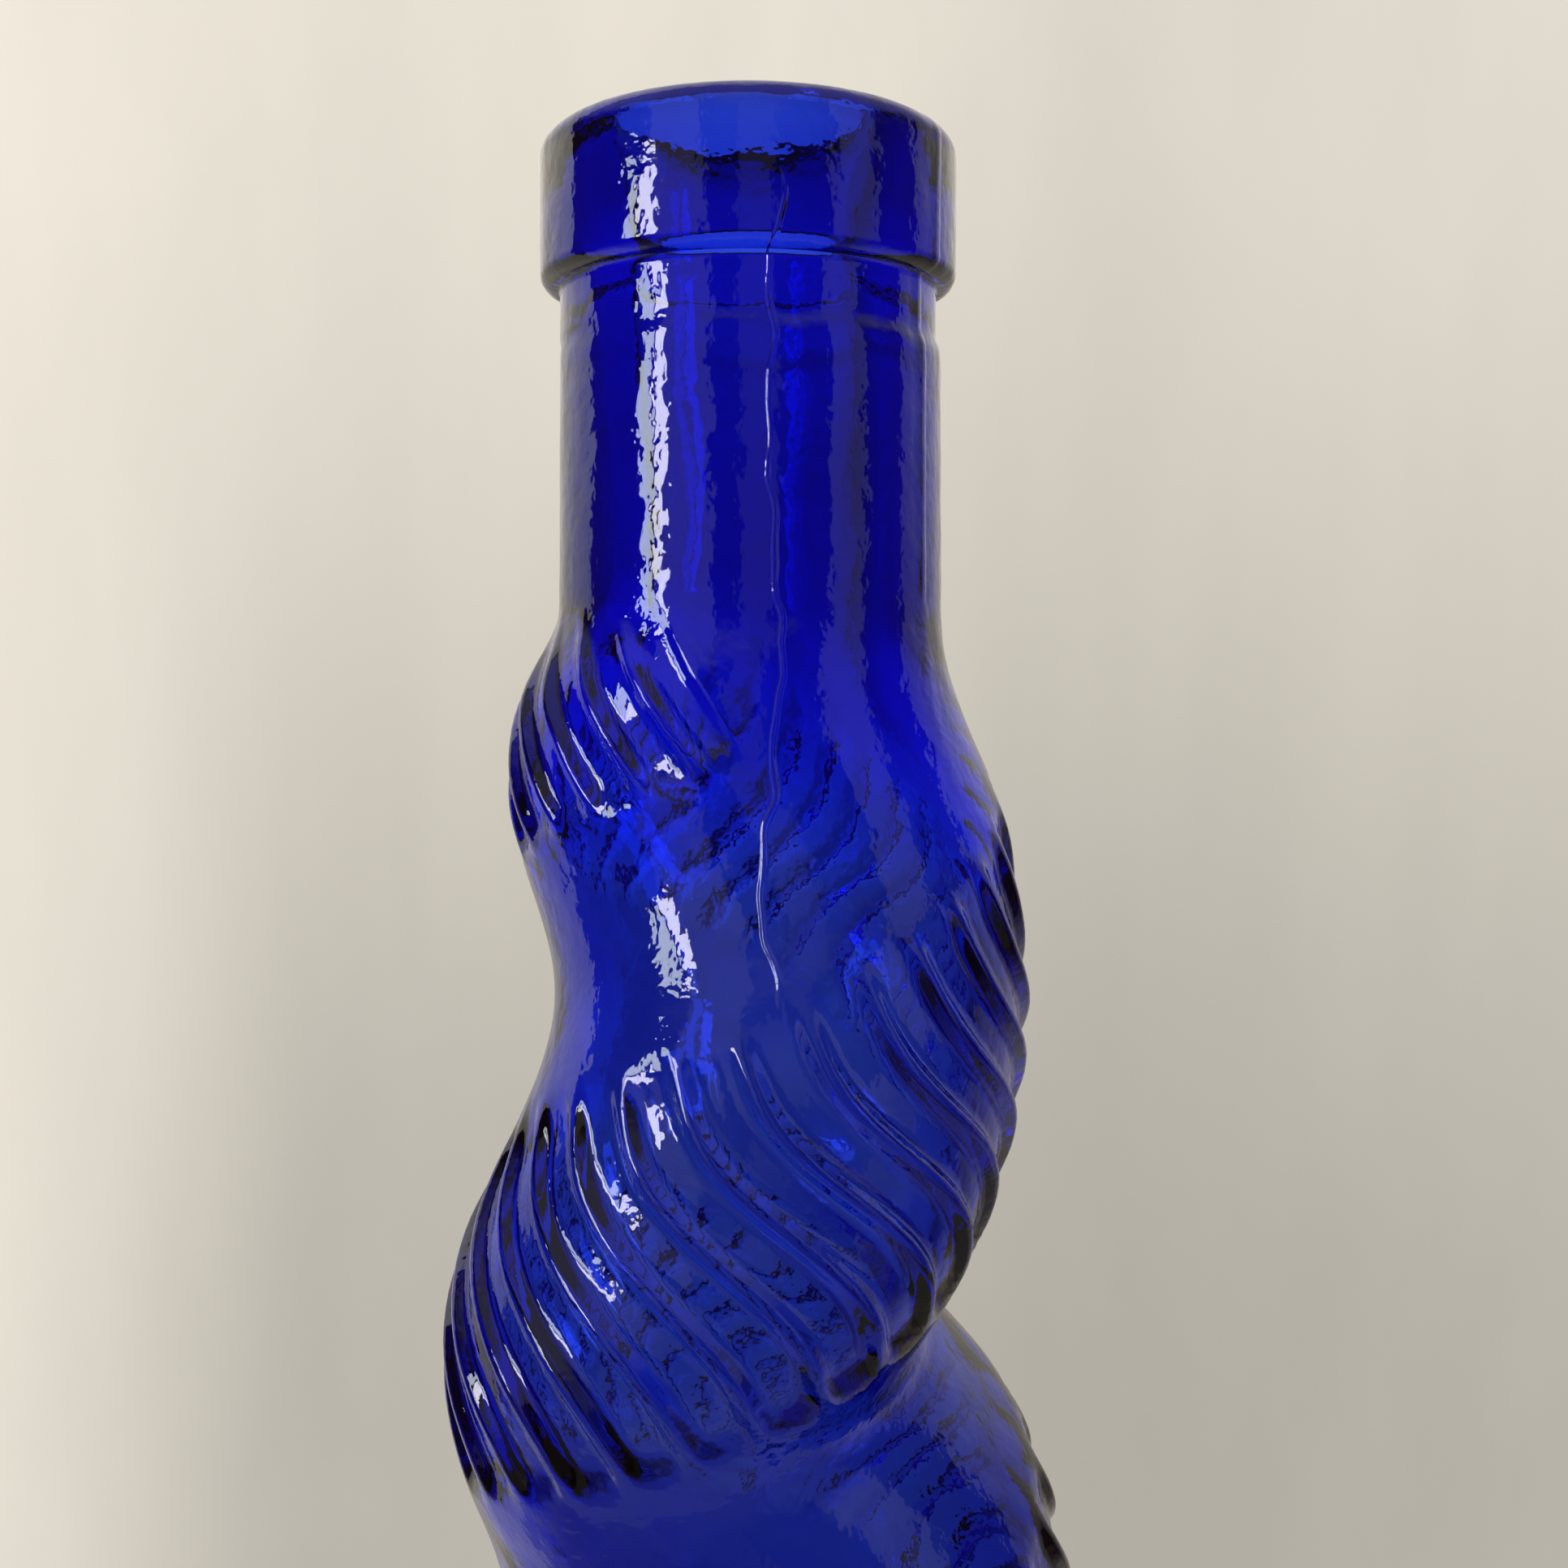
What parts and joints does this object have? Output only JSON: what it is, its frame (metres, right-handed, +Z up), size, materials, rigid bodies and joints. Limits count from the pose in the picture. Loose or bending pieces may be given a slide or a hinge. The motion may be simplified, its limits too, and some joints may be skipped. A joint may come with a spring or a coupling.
{
  "type": "twisted glass bottle",
  "caption": "Tall cobalt glass bottle with a collar lip, a round neck and a body twisted like a barley-sugar column, ribbed along its raised band.",
  "frame": {"origin": "centre of the base, on the plane that the bottle stands on", "axes": "+Z up along the bottle's axis to the mouth; -Y is the side that the picture shows"},
  "size_m": [0.068, 0.068, 0.3],
  "materials": {
    "cobalt_glass": "clear deep blue glass, fire-polished"
  },
  "bodies": {
    "root": {"bottle": "cobalt_glass"}
  },
  "joints": []
}
